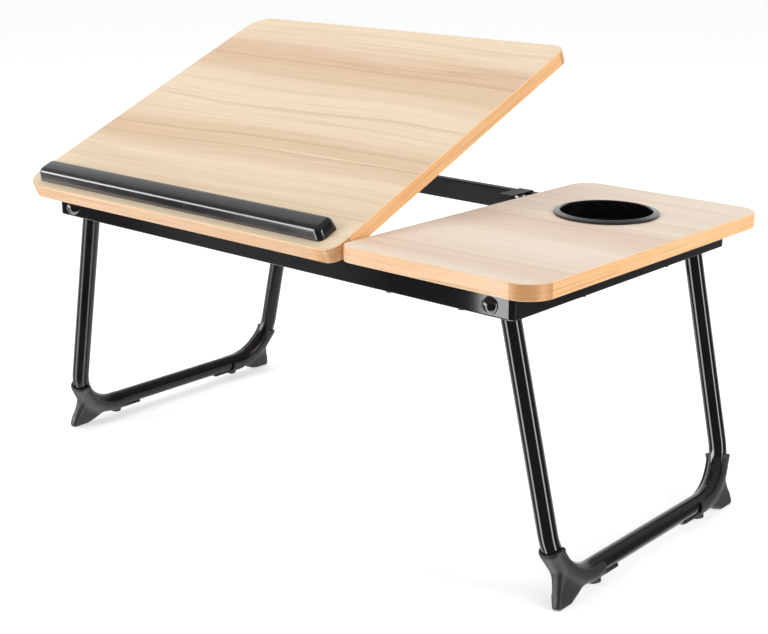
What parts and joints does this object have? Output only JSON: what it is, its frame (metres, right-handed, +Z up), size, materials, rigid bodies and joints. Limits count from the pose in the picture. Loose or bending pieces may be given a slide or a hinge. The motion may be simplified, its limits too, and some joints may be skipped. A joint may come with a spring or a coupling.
{
  "type": "bed tray table",
  "caption": "Folding bed tray table: a tilting wood board with a stop bar, a fixed board with a cup holder, a black tube frame and fold-in U legs.",
  "frame": {"origin": "on the ground, in the middle of the table's outline as it stands with its board tilted", "axes": "+X to the user's right along the table's length, -Y towards the user, +Z up"},
  "size_m": [0.6184, 0.3432, 0.3944],
  "materials": {
    "board_laminate": "satin laminate with a fine straight grain",
    "edge_band": "satin edge band, warmer than the top",
    "cup_plastic": "glossy black",
    "bar_plastic": "soft gloss black",
    "frame_paint": "glossy black powder coat",
    "pivot_caps": "glossy black",
    "foot_plastic": "matte dark grey",
    "small_plastic": "matte black",
    "pad_rubber": "matte",
    "zinc_steel": "zinc plated"
  },
  "bodies": {
    "frame": {"fixed_board": "board_laminate", "fixed_board_edge_band": "edge_band", "cup_holder": "cup_plastic", "front_rail": "frame_paint", "back_rail": "frame_paint", "left_rail": "frame_paint", "right_rail": "frame_paint", "middle_rail": "frame_paint", "left_rack_strap": "frame_paint", "right_rack_strap": "frame_paint", "leg_pivot_bolts": "pivot_caps", "left_tilt_rack": "small_plastic", "right_tilt_rack": "small_plastic", "leg_pivot_spacers": "small_plastic", "board_spacers": "small_plastic", "leg_stop_pads": "pad_rubber", "board_rest_pads": "pad_rubber", "long_board_screws": "zinc_steel", "short_board_screws": "zinc_steel", "rack_screws": "zinc_steel", "strap_rivets": "zinc_steel", "hinge_leaf_rivets": "zinc_steel", "hinge_pins": "zinc_steel", "left_hinge_rail_leaf": "zinc_steel", "right_hinge_rail_leaf": "zinc_steel", "leg_pivot_washers": "zinc_steel", "leg_pivot_nuts": "zinc_steel"},
    "tilting_board": {"tilting_board": "board_laminate", "tilting_board_edge_band": "edge_band", "stop_bar": "bar_plastic", "stop_bar_screws": "zinc_steel", "left_hinge_board_leaf": "zinc_steel", "right_hinge_board_leaf": "zinc_steel", "hinge_leaf_screws": "zinc_steel", "left_bail_clip": "small_plastic", "right_bail_clip": "small_plastic", "bail_clip_screws": "zinc_steel"},
    "support_bail": {"support_bail": "frame_paint"},
    "left_leg": {"left_leg": "frame_paint", "left_leg_end_plugs": "small_plastic", "left_leg_foot_screws": "zinc_steel", "front_left_foot": "foot_plastic", "back_left_foot": "foot_plastic"},
    "right_leg": {"right_leg": "frame_paint", "right_leg_end_plugs": "small_plastic", "right_leg_foot_screws": "zinc_steel", "front_right_foot": "foot_plastic", "back_right_foot": "foot_plastic"}
  },
  "joints": [
    {"name": "board_tilt", "type": "hinge", "parent": "frame", "child": "tilting_board", "pos_m": [0, -0.15585, 0.2535], "axis": [1, 0, 0], "range_deg": [-23.5, 12.5]},
    {"name": "bail_swing", "type": "hinge", "parent": "tilting_board", "child": "support_bail", "pos_m": [0, -0.01638, 0.30891], "axis": [1, 0, 0], "range_deg": [-12.3, 6.8]},
    {"name": "left_leg_fold", "type": "hinge", "parent": "frame", "child": "left_leg", "pos_m": [-0.2488, 0.00165, 0.2393], "axis": [0, -1, 0], "range_deg": [0, 96.6]},
    {"name": "right_leg_fold", "type": "hinge", "parent": "frame", "child": "right_leg", "pos_m": [0.2488, 0.00165, 0.2393], "axis": [0, 1, 0], "range_deg": [0, 96.6]}
  ],
  "couplings": [
    {"joint": "bail_swing", "follows": "board_tilt", "ratio": 0.5}
  ]
}
